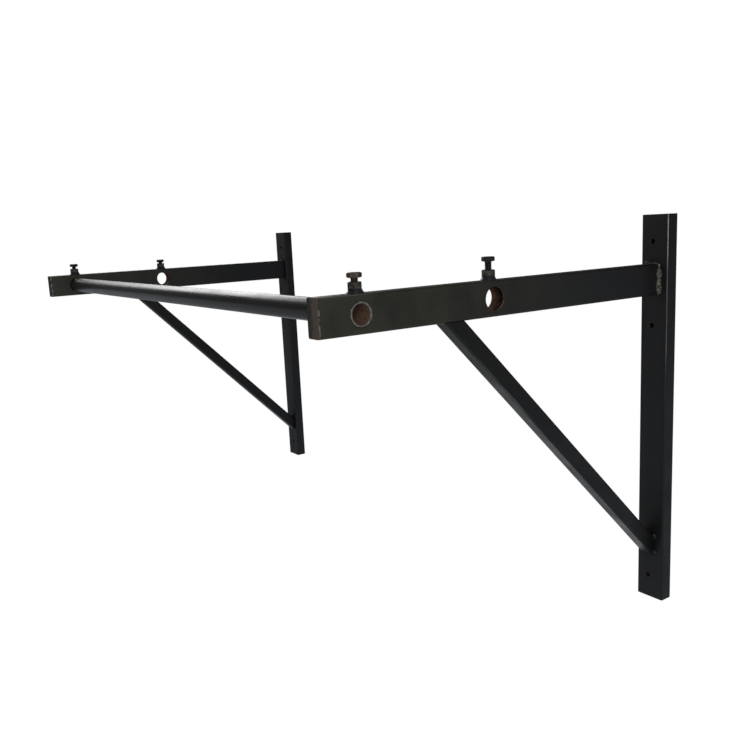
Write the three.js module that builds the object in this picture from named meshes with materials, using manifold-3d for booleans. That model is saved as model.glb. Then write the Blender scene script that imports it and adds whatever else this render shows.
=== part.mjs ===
// Wall-mounted pull-up bar: two welded steel brackets carry one round bar in cross sockets.
// Units are millimetres. X runs along the bar, Y points into the wall, Z points up.
// The origin lies on the wall, midway between the brackets, level with the feet of the wall rails.
import * as THREE from 'three';
import { mergeVertices } from 'three/addons/utils/BufferGeometryUtils.js';
import Module from 'manifold-3d';

// Spacing of the two brackets and the joints between welded pieces
const ARM_SPACING = 1250;           // between the centre planes of the two arms
const RAIL_OFFSET = 4;              // each rail's centre stands this far outboard of its arm
const WELD_GAP = 0.3;               // root gap left between two pieces that are welded together
const SECTION_CORNER = 3;           // outside corner radius of the rectangular sections
const SECTION_WALL = 2;             // wall thickness of every rectangular section

// Wall rail, a flat-lying rectangular tube
const RAIL_WIDTH = 50;
const RAIL_DEPTH = 25;
const RAIL_LENGTH = 656;
const FIXING_HOLE_DIAMETER = 8;
const FIXING_HOLE_TOP = 43;         // highest hole, below the rail's top end
const FIXING_HOLE_MIDDLE = 51;      // middle hole, below the arm's underside
const FIXING_HOLE_FOOT = 39;        // lowest hole, above the rail's foot

// Arm, an upright rectangular tube with a plate over its front end
const ARM_WIDTH = 25;
const ARM_HEIGHT = 50;
const ARM_LENGTH = 641;
const ARM_DROP = 79;                // from the rail's top end down to the arm's top face
const END_PLATE_THICKNESS = 2.5;

// Round bar and the sockets that it slides through
const BAR_DIAMETER = 32;
const BAR_WALL = 2.6;
const SOCKET_CLEARANCE = 0.5;       // radial, between the bar and its socket
const SOCKET_SETBACK = 59;          // from the arm's front end to the front socket's centre
const SOCKET_PITCH = 221;           // between the centres of the front and rear sockets

// Diagonal brace, a square tube at 45 degrees
const BRACE_SIDE = 25;
const BRACE_FOOT_HEIGHT = 76;       // from the rail's foot to the lowest point of the brace

// Clamp bolt with its deep nut, welded over a hole in the arm's top wall
const BOLT_DIAMETER = 10;
const BOLT_LENGTH = 28;
const BOLT_HEAD_FLATS = 17;
const BOLT_HEAD_HEIGHT = 6.4;
const BOLT_TIP_TAPER = 1;
const THREAD_CLEARANCE = 0.25;      // radial, between the bolt and the nut
const BOLT_TIP_GAP = 0.3;           // between the bolt's tip and the bar that it clamps
const BOLT_HOLE_CLEARANCE = 0.75;   // radial, between the bolt and the hole in the arm
const NUT_FLATS = 17;
const NUT_HEIGHT = 14;
const SPARE_BOLT_SHOWING = { left: 3, right: 11.4 };   // shank seen above the rear nuts
const BOLT_HEAD_TURN = { front: Math.PI / 6, rear: 0 };     // how far each was left turned

// Weld beads
const BEAD_FULLNESS = 0.72;         // 0.5 is a flat-faced fillet, more is convex
const NUT_WELD_SPREAD = 2.9;        // past the nut's corners, along the arm
const NUT_WELD_SIDE_SPREAD = 2;     // past the nut's flats, across the arm
const NUT_WELD_HEIGHT = 6;
const NUT_WELD_TOP_SHARE = 0.7;     // the ring narrows to this share of its foot
const ARM_SIDE_WELD_LEG = 6;
const ARM_TOP_WELD_LEG = 3.5;
const ARM_TACK_RADIUS = 4;
const BRACE_TACK_RADIUS = 4;
const BRACE_UPPER_TACK_RISE = 2;    // above the top of the brace's foot
const BRACE_LOWER_TACK_RISE = 9;    // above the tip of the brace's foot
const BRACE_HEAD_WELD_LEG = 4;

const CIRCLE_STEPS = 64;
const HOLE_STEPS = 48;
const CORNER_STEPS = 6;
const CUT_MARGIN = 5;               // how far a cutting tool runs past what it cuts
const BLOCK_SIZE = 2000;            // side of the blocks that trim a piece to a face

const wasm = await Module();
wasm.setup();

const finishes = {
  blackPaint: { color: 0x1d1f1e, roughness: 0.55, metalness: 0.1 },
  barPaint: { color: 0x3a3c3d, roughness: 0.35, metalness: 0.5 },
  primer: { color: 0x4a3a33, roughness: 0.7, metalness: 0.1 },
  zinc: { color: 0x8f8a80, roughness: 0.45, metalness: 0.8 },
  bareWeld: { color: 0xb9b9ae, roughness: 0.6, metalness: 0.5 },
};

function material(finish) {
  return new THREE.MeshStandardMaterial(finishes[finish]);
}

// Boolean cuts and joins -------------------------------------------------------------------

function toSolid(geometry) {
  const bare = geometry.clone();
  bare.deleteAttribute('normal');
  bare.deleteAttribute('uv');
  const merged = mergeVertices(bare, 1e-4);
  return new wasm.Manifold(new wasm.Mesh({
    numProp: 3,
    vertProperties: new Float32Array(merged.attributes.position.array),
    triVerts: new Uint32Array(merged.index.array),
  }));
}

function toGeometry(solid) {
  const mesh = solid.getMesh();
  const indexed = new THREE.BufferGeometry();
  indexed.setAttribute('position', new THREE.BufferAttribute(mesh.vertProperties, 3));
  indexed.setIndex(new THREE.BufferAttribute(mesh.triVerts, 1));
  const flat = indexed.toNonIndexed();
  flat.computeVertexNormals();
  return flat;
}

function cut(body, tools) {
  return toGeometry(tools.reduce((solid, tool) => solid.subtract(toSolid(tool)), toSolid(body)));
}

// Shapes -----------------------------------------------------------------------------------

function roundedRectangle(path, width, height, radius) {
  const x = width / 2 - radius;
  const y = height / 2 - radius;
  path.moveTo(x, -y - radius);
  path.absarc(x, -y, radius, -Math.PI / 2, 0, false);
  path.absarc(x, y, radius, 0, Math.PI / 2, false);
  path.absarc(-x, y, radius, Math.PI / 2, Math.PI, false);
  path.absarc(-x, -y, radius, Math.PI, Math.PI * 1.5, false);
  path.closePath();
  return path;
}

// A rectangular tube that stands on the XY plane and runs up Z
function rectangularTube(width, height, length) {
  const outline = roundedRectangle(new THREE.Shape(), width, height, SECTION_CORNER);
  const hollowWidth = width - 2 * SECTION_WALL;
  const hollowHeight = height - 2 * SECTION_WALL;
  const hollowCorner = SECTION_CORNER - SECTION_WALL;
  outline.holes.push(roundedRectangle(new THREE.Path(), hollowWidth, hollowHeight, hollowCorner));
  return new THREE.ExtrudeGeometry(outline,
    { depth: length, bevelEnabled: false, curveSegments: CORNER_STEPS });
}

// A round cutting tool centred on a point, along the X, Y or Z axis
function drill(diameter, length, axis, centre) {
  const tool = new THREE.CylinderGeometry(diameter / 2, diameter / 2, length, HOLE_STEPS);
  if (axis === 'x') tool.rotateZ(Math.PI / 2);
  if (axis === 'z') tool.rotateX(Math.PI / 2);
  return tool.translate(...centre);
}

// A hexagon with two of its flats square to X
function hexagon(path, flats) {
  const corner = flats / Math.sqrt(3);
  for (let i = 0; i < 6; i += 1) {
    const angle = Math.PI / 6 + (i * Math.PI) / 3;
    const point = [corner * Math.sin(angle - Math.PI / 6), corner * Math.cos(angle - Math.PI / 6)];
    if (i === 0) path.moveTo(...point);
    else path.lineTo(...point);
  }
  path.closePath();
  return path;
}

function hexPrism(flats, height) {
  return new THREE.ExtrudeGeometry(hexagon(new THREE.Shape(), flats),
    { depth: height, bevelEnabled: false });
}

// A convex fillet bead in a square corner, centred on a point of it. Its two legs point along
// two axes, and its length runs square to both.
function filletBead(leg, length, firstLeg, secondLeg, middle) {
  const outline = new THREE.Shape();
  outline.moveTo(WELD_GAP, WELD_GAP);
  outline.lineTo(leg, WELD_GAP);
  outline.quadraticCurveTo(leg * BEAD_FULLNESS, leg * BEAD_FULLNESS, WELD_GAP, leg);
  outline.closePath();
  const bead = new THREE.ExtrudeGeometry(outline,
    { depth: length, bevelEnabled: false, curveSegments: CORNER_STEPS });
  bead.translate(0, 0, -length / 2);
  const run = new THREE.Vector3().crossVectors(firstLeg, secondLeg);
  bead.applyMatrix4(new THREE.Matrix4().makeBasis(firstLeg, secondLeg, run));
  return bead.translate(...middle);
}

// A large block that starts a weld gap below the XY plane, for keeping what lies under a face
function blockUnderFace() {
  const block = new THREE.BoxGeometry(BLOCK_SIZE, BLOCK_SIZE, BLOCK_SIZE);
  return block.translate(0, 0, -BLOCK_SIZE / 2 - WELD_GAP);
}

function keepInside(body, blocks) {
  return blocks.reduce((solid, block) => solid.intersect(toSolid(block)), body);
}

// Pieces -----------------------------------------------------------------------------------

const railFront = -RAIL_DEPTH;
const armTop = RAIL_LENGTH - ARM_DROP;
const armUnderside = armTop - ARM_HEIGHT;
const armBack = railFront - WELD_GAP;
const armFront = armBack - ARM_LENGTH;
const armMiddle = armTop - ARM_HEIGHT / 2;
const socketY = {
  front: armFront + SOCKET_SETBACK,
  rear: armFront + SOCKET_SETBACK + SOCKET_PITCH,
};
const braceRun = armUnderside - BRACE_FOOT_HEIGHT;   // a 45 degree brace reaches out as it drops
const braceFootTop = BRACE_FOOT_HEIGHT + BRACE_SIDE * Math.SQRT2;
const socketDiameter = BAR_DIAMETER + 2 * SOCKET_CLEARANCE;
const boltHoleDiameter = BOLT_DIAMETER + 2 * BOLT_HOLE_CLEARANCE;
const nutSeat = armTop + WELD_GAP;
const nutTop = nutSeat + NUT_HEIGHT;

const pullUpBar = new THREE.Group();

function add(name, geometry, finish, position = [0, 0, 0]) {
  const mesh = new THREE.Mesh(geometry, material(finish));
  mesh.name = name;
  mesh.position.set(...position);
  pullUpBar.add(mesh);
}

// The wall rail lies flat against the wall, with its fixing holes on the arm's centre plane.
function wallRail(outboard) {
  const rail = rectangularTube(RAIL_WIDTH, RAIL_DEPTH, RAIL_LENGTH);
  const heights = [
    RAIL_LENGTH - FIXING_HOLE_TOP,
    armUnderside - FIXING_HOLE_MIDDLE,
    FIXING_HOLE_FOOT,
  ];
  const x = -outboard * RAIL_OFFSET;
  const length = RAIL_DEPTH + 2 * CUT_MARGIN;
  return cut(rail, heights.map((z) => drill(FIXING_HOLE_DIAMETER, length, 'y', [x, 0, z])));
}

// The arm is drilled right across for the two sockets, and through its top wall for the bolts.
function arm() {
  const tube = rectangularTube(ARM_WIDTH, ARM_HEIGHT, ARM_LENGTH);
  tube.rotateX(Math.PI / 2);
  tube.translate(0, armBack, armMiddle);
  const across = ARM_WIDTH + 2 * CUT_MARGIN;
  const wallDeep = SECTION_WALL + CUT_MARGIN;
  const drills = Object.values(socketY).flatMap((y) => [
    drill(socketDiameter, across, 'x', [0, y, armMiddle]),
    drill(boltHoleDiameter, wallDeep, 'z', [0, y, armTop]),
  ]);
  return cut(tube, drills);
}

function endPlate() {
  const outline = roundedRectangle(new THREE.Shape(), ARM_WIDTH, ARM_HEIGHT, SECTION_CORNER);
  const plate = new THREE.ExtrudeGeometry(outline,
    { depth: END_PLATE_THICKNESS, bevelEnabled: false, curveSegments: CORNER_STEPS });
  return plate.rotateX(Math.PI / 2);
}

// The brace is a square tube at 45 degrees, mitred flat to the arm above and the rail behind.
function brace() {
  const length = (braceRun + 4 * BRACE_SIDE) * Math.SQRT2;
  const tube = rectangularTube(BRACE_SIDE, BRACE_SIDE, length);
  tube.translate(0, BRACE_SIDE / 2, -2 * BRACE_SIDE);
  tube.rotateX(Math.PI / 4);
  tube.translate(0, railFront, BRACE_FOOT_HEIGHT);
  const underArm = blockUnderFace().translate(0, 0, armUnderside);
  const beforeRail = blockUnderFace().rotateX(-Math.PI / 2).translate(0, railFront, 0);
  return toGeometry(keepInside(toSolid(tube), [underArm, beforeRail]));
}

function clampNut() {
  const outline = hexagon(new THREE.Shape(), NUT_FLATS);
  const bore = new THREE.Path();
  bore.absarc(0, 0, BOLT_DIAMETER / 2 + THREAD_CLEARANCE, 0, Math.PI * 2, false);
  outline.holes.push(bore);
  return new THREE.ExtrudeGeometry(outline,
    { depth: NUT_HEIGHT, bevelEnabled: false, curveSegments: HOLE_STEPS / 2 });
}

// A flared ring of weld around the foot of a nut
function nutWeld() {
  const radius = NUT_FLATS / Math.sqrt(3) + NUT_WELD_SPREAD;
  const halfWidth = NUT_FLATS / 2 + NUT_WELD_SIDE_SPREAD;
  const ring = new THREE.CylinderGeometry(radius * NUT_WELD_TOP_SHARE, radius,
    NUT_WELD_HEIGHT, HOLE_STEPS);
  ring.rotateX(Math.PI / 2);
  ring.translate(0, 0, NUT_WELD_HEIGHT / 2);
  ring.scale(halfWidth / radius, 1, 1);
  const core = hexPrism(NUT_FLATS + 2 * WELD_GAP, NUT_WELD_HEIGHT + 2 * CUT_MARGIN);
  return cut(ring, [core.translate(0, 0, -CUT_MARGIN)]);
}

// A hex-head bolt, its origin under the head and its shank pointing down
function clampBolt() {
  const radius = BOLT_DIAMETER / 2;
  const flank = [
    new THREE.Vector2(0, -BOLT_LENGTH),
    new THREE.Vector2(radius - BOLT_TIP_TAPER, -BOLT_LENGTH),
    new THREE.Vector2(radius, -BOLT_LENGTH + BOLT_TIP_TAPER),
    new THREE.Vector2(radius, BOLT_HEAD_HEIGHT / 2),
    new THREE.Vector2(0, BOLT_HEAD_HEIGHT / 2),
  ];
  const shank = new THREE.LatheGeometry(flank, CIRCLE_STEPS / 2);
  shank.rotateX(Math.PI / 2);
  const head = hexPrism(BOLT_HEAD_FLATS, BOLT_HEAD_HEIGHT);
  return toGeometry(toSolid(shank).add(toSolid(head)));
}

function roundBar() {
  const ring = new THREE.Shape();
  ring.absarc(0, 0, BAR_DIAMETER / 2, 0, Math.PI * 2, false);
  const bore = new THREE.Path();
  bore.absarc(0, 0, BAR_DIAMETER / 2 - BAR_WALL, 0, Math.PI * 2, false);
  ring.holes.push(bore);
  const length = ARM_SPACING + ARM_WIDTH;
  const bar = new THREE.ExtrudeGeometry(ring,
    { depth: length, bevelEnabled: false, curveSegments: CIRCLE_STEPS / 2 });
  bar.translate(0, 0, -length / 2);
  return bar.rotateY(Math.PI / 2);
}

const forward = new THREE.Vector3(0, -1, 0);
const up = new THREE.Vector3(0, 0, 1);

// The bead down the arm's outboard side, in the corner between the arm and the rail
function armSideWeld(outboard) {
  const middle = [outboard * ARM_WIDTH / 2, railFront, armMiddle];
  const outward = new THREE.Vector3(outboard, 0, 0);
  return filletBead(ARM_SIDE_WELD_LEG, ARM_HEIGHT, outward, forward, middle);
}

// The bead across the arm's top, ending in a heavier tack at its inboard corner
function armTopWeld(outboard) {
  const bead = filletBead(ARM_TOP_WELD_LEG, ARM_WIDTH, forward, up, [0, railFront, armTop]);
  const tack = new THREE.SphereGeometry(ARM_TACK_RADIUS, 16, 12);
  tack.translate(-outboard * (ARM_WIDTH / 2 - ARM_TACK_RADIUS), railFront, armTop);
  const overArm = blockUnderFace().rotateX(Math.PI).translate(0, 0, armTop);
  const beforeRail = blockUnderFace().rotateX(-Math.PI / 2).translate(0, railFront, 0);
  return toGeometry(toSolid(bead).add(keepInside(toSolid(tack), [overArm, beforeRail])));
}

// A round tack in the corner between the brace's outboard side and the rail
function braceTack(outboard, height) {
  const tack = new THREE.SphereGeometry(BRACE_TACK_RADIUS, 16, 12);
  const beforeRail = blockUnderFace().rotateX(-Math.PI / 2);
  const besideBrace = blockUnderFace().rotateY(-outboard * Math.PI / 2);
  const corner = toGeometry(keepInside(toSolid(tack), [beforeRail, besideBrace]));
  return corner.translate(outboard * BRACE_SIDE / 2, railFront, height);
}

// The round bead along the front edge of the brace's head, under the arm
function braceHeadWeld() {
  const width = BRACE_SIDE - 2 * SECTION_CORNER;
  const bead = drill(2 * BRACE_HEAD_WELD_LEG, width, 'x', [0, 0, 0]);
  const underArm = blockUnderFace();
  const beforeBrace = blockUnderFace().rotateX(-Math.PI / 4);
  const corner = toGeometry(keepInside(toSolid(bead), [underArm, beforeBrace]));
  return corner.translate(0, railFront - braceRun, armUnderside);
}

// Both brackets ------------------------------------------------------------------------------

for (const [side, outboard] of [['left', -1], ['right', 1]]) {
  const x = outboard * ARM_SPACING / 2;
  const railX = x + outboard * RAIL_OFFSET;
  add(`${side}_wall_rail`, wallRail(outboard), 'blackPaint', [railX, railFront / 2, 0]);
  add(`${side}_arm`, arm(), 'blackPaint', [x, 0, 0]);
  add(`${side}_arm_end_plate`, endPlate(), 'primer',
    [x, armFront - WELD_GAP, armMiddle]);
  add(`${side}_brace`, brace(), 'blackPaint', [x, 0, 0]);
  add(`${side}_arm_side_weld`, armSideWeld(outboard), 'bareWeld', [x, 0, 0]);
  add(`${side}_arm_top_weld`, armTopWeld(outboard), 'bareWeld', [x, 0, 0]);
  add(`${side}_brace_head_weld`, braceHeadWeld(), 'blackPaint', [x, 0, 0]);
  add(`${side}_brace_foot_upper_weld`, braceTack(outboard, braceFootTop + BRACE_UPPER_TACK_RISE),
    'bareWeld', [x, 0, 0]);
  add(`${side}_brace_foot_lower_weld`, braceTack(outboard, BRACE_FOOT_HEIGHT + BRACE_LOWER_TACK_RISE),
    'bareWeld', [x, 0, 0]);
  for (const [place, y] of Object.entries(socketY)) {
    const clampedShowing = BOLT_LENGTH - (nutTop - armMiddle) + BAR_DIAMETER / 2 + BOLT_TIP_GAP;
    const showing = place === 'front' ? clampedShowing : SPARE_BOLT_SHOWING[side];
    add(`${side}_${place}_nut`, clampNut(), 'zinc', [x, y, nutSeat]);
    add(`${side}_${place}_nut_weld`, nutWeld(), 'blackPaint', [x, y, nutSeat]);
    const bolt = clampBolt().rotateZ(BOLT_HEAD_TURN[place]);
    add(`${side}_${place}_clamp_bolt`, bolt, 'zinc', [x, y, nutTop + showing]);
  }
}

add('pull_up_bar', roundBar(), 'barPaint', [0, socketY.front, armMiddle]);

export default pullUpBar;
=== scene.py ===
"""A wall-mounted pull-up bar: two welded brackets of black-painted steel tube carry one round bar.

Lengths are in metres. X runs along the bar, Y points into the wall and Z points up, with the origin on the
wall, midway between the brackets and level with the feet of the wall rails.
"""

import math

import bmesh
import bpy
import numpy as np
from mathutils import Matrix, Vector


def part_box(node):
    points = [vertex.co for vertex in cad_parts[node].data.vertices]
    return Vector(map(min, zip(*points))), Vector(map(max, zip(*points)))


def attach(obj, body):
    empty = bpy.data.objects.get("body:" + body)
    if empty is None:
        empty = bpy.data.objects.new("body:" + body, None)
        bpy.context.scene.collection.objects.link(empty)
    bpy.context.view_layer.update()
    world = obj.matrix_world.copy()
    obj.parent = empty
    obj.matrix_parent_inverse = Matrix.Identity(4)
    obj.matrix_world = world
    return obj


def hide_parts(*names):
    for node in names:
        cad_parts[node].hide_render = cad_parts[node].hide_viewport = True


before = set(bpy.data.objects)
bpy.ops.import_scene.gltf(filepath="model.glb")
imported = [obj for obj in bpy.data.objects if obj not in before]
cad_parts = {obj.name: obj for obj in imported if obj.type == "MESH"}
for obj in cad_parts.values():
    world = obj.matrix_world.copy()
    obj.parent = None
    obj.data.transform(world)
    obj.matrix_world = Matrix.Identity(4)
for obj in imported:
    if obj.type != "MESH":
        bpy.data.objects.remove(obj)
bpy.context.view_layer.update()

# Wall rails -----------------------------------------------------------------------------------------
# Each bracket hangs from a length of mild steel tube, 50 x 25 x 2 mm, that lies flat on the wall. It is
# sawn square, drilled right through for three wall anchors, and brushed with black enamel.

MM = 0.001
OUTBOARD = {"left": -1, "right": 1}  # the way along X that leads out past each end of the bar
TUBE_WALL = 2 * MM
TUBE_CORNER = 3 * MM
CORNER_FLAT = 0.4 * MM  # flat kept beside each corner, so that the faces shade flat
SAWN_LIP = 0.45 * MM  # radius that a file leaves on a sawn edge
FIXING_HOLE = 8 * MM
FIXING_HOLE_TOP = 43 * MM  # below the rail's top end
FIXING_HOLE_MIDDLE = 51 * MM  # below the arm's underside
FIXING_HOLE_FOOT = 39 * MM  # above the rail's foot
LIP_STEPS = 4  # points round each filed lip
TURN_STEPS = 48  # points round a turned or hexagonal piece
QUARTER_STEPS = 9  # points round each corner of a tube
OUTER_BAND, LIP_BAND, HOLLOW_BAND = 0, 1, 2
SHARP_ANGLE = math.radians(32)  # faces that meet at more than this stay crisp


def tube_outline(width, height, inset):
    """Points round a rounded rectangle moved inwards by inset: centre + radius * (cos, sin) over a quarter
    turn, with a point on each flat beside it, mirrored into the other three quadrants."""
    radius = max(TUBE_CORNER - inset, TUBE_CORNER - TUBE_WALL)
    turn = np.linspace(0, math.pi / 2, QUARTER_STEPS)
    arc = np.stack([np.cos(turn), np.sin(turn)], 1) * radius
    before, after = [radius, -CORNER_FLAT], [-CORNER_FLAT, radius]
    centre = [width / 2 - inset - radius, height / 2 - inset - radius]
    quarter = np.vstack([before, arc, after]) + centre
    mirrors = [(1, 1, 1), (-1, 1, -1), (-1, -1, 1), (1, -1, -1)]
    return np.vstack([(quarter * (x, y))[::order] for x, y, order in mirrors])


def tube_rings(width, height, start, end, start_slope=0.0, end_slope=0.0):
    """Rings of a rectangular tube's skin: the outline at an inset, set at a distance along the tube. They go
    round the lip at the end, back down the hollow and round the lip at the start, where the last ring meets
    the first. A lip's inset is lip * (1 - cos) and its distance from the end is lip * (1 - sin). A mitred
    end's distance also grows by slope times the point's place across the height."""
    turn = np.linspace(0, math.pi / 2, LIP_STEPS)
    outer_inset = SAWN_LIP * (1 - np.cos(turn))
    from_end = SAWN_LIP * (1 - np.sin(turn))
    insets = np.concatenate([outer_inset, (TUBE_WALL - outer_inset)[::-1]])
    from_end = np.concatenate([from_end, from_end[::-1]])
    outlines = np.stack([tube_outline(width, height, inset) for inset in insets])
    end_rings = end + end_slope * outlines[..., 1] - from_end[:, None]
    start_rings = start + start_slope * outlines[..., 1] + from_end[:, None]
    there = np.concatenate([outlines, end_rings[..., None]], 2)
    back = np.concatenate([outlines, start_rings[..., None]], 2)[::-1]
    return np.concatenate([there, back])


def tube_bands():
    """Which finish each band between two rings takes: lip, hollow, lip, then the outer face."""
    lip = [LIP_BAND] * (2 * LIP_STEPS - 1)
    return lip + [HOLLOW_BAND] + lip + [OUTER_BAND]


def corner_wear(corners, at_end, at_start):
    """How worn each point of a tube's rings is: sin(2 * turn) round each corner, times that corner's share,
    times the share at that end. The corners run anticlockwise from the one where both sides are positive."""
    around = np.concatenate([[0], np.sin(2 * np.linspace(0, math.pi / 2, QUARTER_STEPS)), [0]])
    outline = np.concatenate([around * share for share in corners])
    shares = np.repeat([at_end, at_start], 2 * LIP_STEPS)
    return shares[:, None] * outline


def placed(rings, origin, across, height, along):
    """Moves rings from their own axes into the frame: origin + x * across + y * height + z * along."""
    return np.asarray(origin) + rings @ np.array([across, height, along], float)


def skin(name, shells, finishes, bands=(0,), wear=None, closed=True):
    """A mesh object of one or more closed shells. Each shell is an array of rings, (ring, point, 3), joined
    ring to ring by a band of quads. The last ring meets the first if closed, and otherwise a flat cap closes
    each end. The bands' finishes repeat to the end, and wear is a value for each point."""
    points, faces, finish_of_face = [], [], []
    for rings in shells:
        count, size = rings.shape[:2]
        first = sum(len(p) for p in points)
        index = np.arange(count * size).reshape(count, size) + first
        here, there = (index, np.roll(index, -1, 0)) if closed else (index[:-1], index[1:])
        quads = np.stack([here, np.roll(here, -1, 1), np.roll(there, -1, 1), there], -1).reshape(-1, 4)
        caps = [] if closed else [index[0][::-1].tolist(), index[-1].tolist()]
        points.append(rings.reshape(-1, 3))
        faces += quads.tolist() + caps
        finish_of_face += np.repeat(np.resize(bands, len(here)), size).tolist() + [bands[-1]] * len(caps)
    mesh = bpy.data.meshes.new(name)
    mesh.from_pydata(np.concatenate(points), [], faces)
    for finish in finishes:
        mesh.materials.append(finish)
    mesh.polygons.foreach_set("material_index", finish_of_face)
    worn = np.zeros(len(mesh.vertices)) if wear is None else np.ravel(wear)
    mesh.attributes.new("wear", "FLOAT", "POINT").data.foreach_set("value", worn)
    facing = bmesh.new()
    facing.from_mesh(mesh)
    if facing.calc_volume(signed=True) < 0:
        bmesh.ops.reverse_faces(facing, faces=facing.faces)
    facing.to_mesh(mesh)
    facing.free()
    mesh.shade_smooth()
    mesh.set_sharp_from_angle(angle=SHARP_ANGLE)
    piece = bpy.data.objects.new(name, mesh)
    bpy.context.scene.collection.objects.link(piece)
    return piece


def turned_rings(rows, steps=TURN_STEPS):
    """Rings round an axis, radius * (cos, sin) at a distance along it. A row is a radius and a distance, and
    each of them is one number or one number for each point."""
    turn = np.arange(steps) * math.tau / steps
    radius = np.array([np.broadcast_to(row[0], steps) for row in rows])
    distance = np.array([np.broadcast_to(row[1], steps) for row in rows])
    return np.stack([radius * np.cos(turn), radius * np.sin(turn), distance], 2)


def hole_cutter(centre, axis, radius, low, high, finish, steps=TURN_STEPS):
    """A round cutter along an axis, for a hole that runs from low to high. Past each face it flares by a lip,
    which breaks the hole's edge."""
    flare = 1 * MM
    rows = [
        (radius + SAWN_LIP + flare, low - flare),
        (radius, low + SAWN_LIP),
        (radius, high - SAWN_LIP),
        (radius + SAWN_LIP + flare, high + flare),
    ]
    across, height = np.roll(axis, 1), np.roll(axis, 2)
    rings = placed(turned_rings(rows, steps), centre, across, height, axis)
    return skin("hole_cutter", [rings], [finish], closed=False)


def drilled(piece, cutters):
    """Takes the cutters out of the piece. The faces that they leave take the cutters' finish."""
    for cutter in cutters:
        hole = piece.modifiers.new("hole", "BOOLEAN")
        hole.object = cutter
        hole.operation = "DIFFERENCE"
        hole.solver = "EXACT"
        hole.material_mode = "TRANSFER"
    shown = piece.evaluated_get(bpy.context.evaluated_depsgraph_get())
    mesh = bpy.data.meshes.new_from_object(shown)
    piece.modifiers.clear()
    piece.data = mesh
    mesh.set_sharp_from_angle(angle=SHARP_ANGLE)
    for cutter in cutters:
        bpy.data.objects.remove(cutter)


def linear(hex_colour):
    """An sRGB hex colour as linear RGBA: c / 12.92 where c is at most 0.04045, and otherwise
    ((c + 0.055) / 1.055) ** 2.4."""
    channels = [int(hex_colour[i : i + 2], 16) / 255 for i in (1, 3, 5)]
    return [c / 12.92 if c <= 0.04045 else ((c + 0.055) / 1.055) ** 2.4 for c in channels] + [1.0]


def add_node(tree, kind, settings=None, links=None):
    """Adds a node, sets its properties and unlinked sockets, and links outputs to its other sockets."""
    made = tree.nodes.new(kind)
    for name, value in (settings or {}).items():
        if isinstance(name, str) and hasattr(made, name):
            setattr(made, name, value)
        else:
            made.inputs[name].default_value = value
    for name, output in (links or {}).items():
        tree.links.new(output, made.inputs[name])
    return made


MIX_A, MIX_B, MIX_COLOUR = 6, 7, 2  # the colour sockets of a Mix node


def per_mm(size):
    """Noise scale that makes a pattern whose grain is size millimetres wide."""
    return 1000 / size


def new_material(name):
    """A material with an empty node tree, and that tree."""
    material = bpy.data.materials.new(name)
    material.use_nodes = True
    material.node_tree.nodes.clear()
    return material, material.node_tree


ENAMEL_DUST = "#3a3a36"
RUBBED_STEEL = "#8d8c86"


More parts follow.
